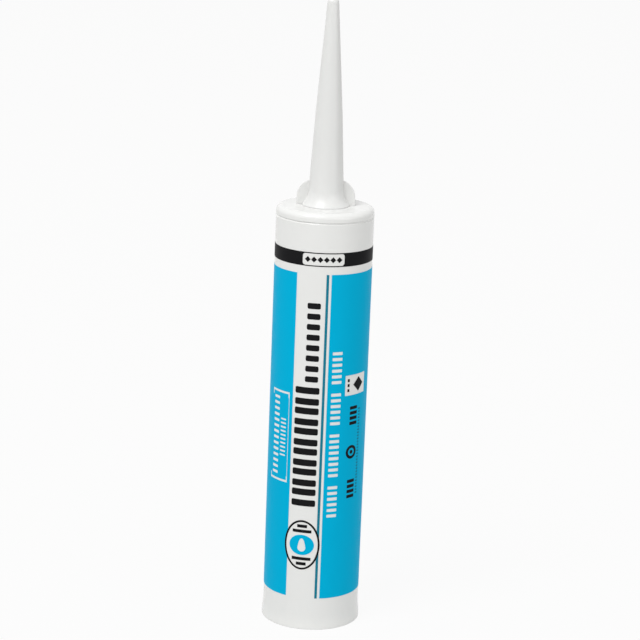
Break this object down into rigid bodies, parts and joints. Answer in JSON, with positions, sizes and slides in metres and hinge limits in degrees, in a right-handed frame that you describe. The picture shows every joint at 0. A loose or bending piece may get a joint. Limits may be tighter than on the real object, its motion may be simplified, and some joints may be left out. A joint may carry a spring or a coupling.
{
  "type": "caulk tube",
  "caption": "Upright sealant tube with a tapered winged screw-on nozzle, a printed wall and a sliding plunger recessed in its open rear end.",
  "frame": {"origin": "centre of the rear rim, on the surface that the tube stands on", "axes": "+Z along the tube's axis from the rear rim to the nozzle's tip, -Y towards the printed front, +X through one of the nozzle's two grip wings"},
  "size_m": [0.0507, 0.0506, 0.3219],
  "materials": {
    "white_plastic": "satin moulded polyethylene",
    "nozzle_plastic": "satin moulded polyethylene",
    "natural_plastic": "matt moulded polyethylene",
    "sealant": "soft paste",
    "blue_ink": "printed ink, satin",
    "navy_ink": "printed ink, satin",
    "black_ink": "printed ink, satin"
  },
  "bodies": {
    "barrel": {"barrel": "white_plastic", "sealant": "sealant", "blue_field": "blue_ink", "navy_line": "navy_ink", "black_band": "black_ink", "stripe_bars": "black_ink", "roundel_ring": "black_ink", "roundel_disc": "blue_ink"},
    "nozzle": {"nozzle": "nozzle_plastic"},
    "plunger": {"plunger": "natural_plastic"}
  },
  "joints": [
    {"name": "plunger_slide", "type": "slide", "parent": "barrel", "child": "plunger", "axis": [0, 0, 1], "range_m": [0, 0.172], "deforming": ["sealant"]},
    {"name": "nozzle_lift", "type": "slide", "parent": "barrel", "child": "nozzle", "axis": [0, 0, 1], "range_m": [0, 0.03]}
  ]
}
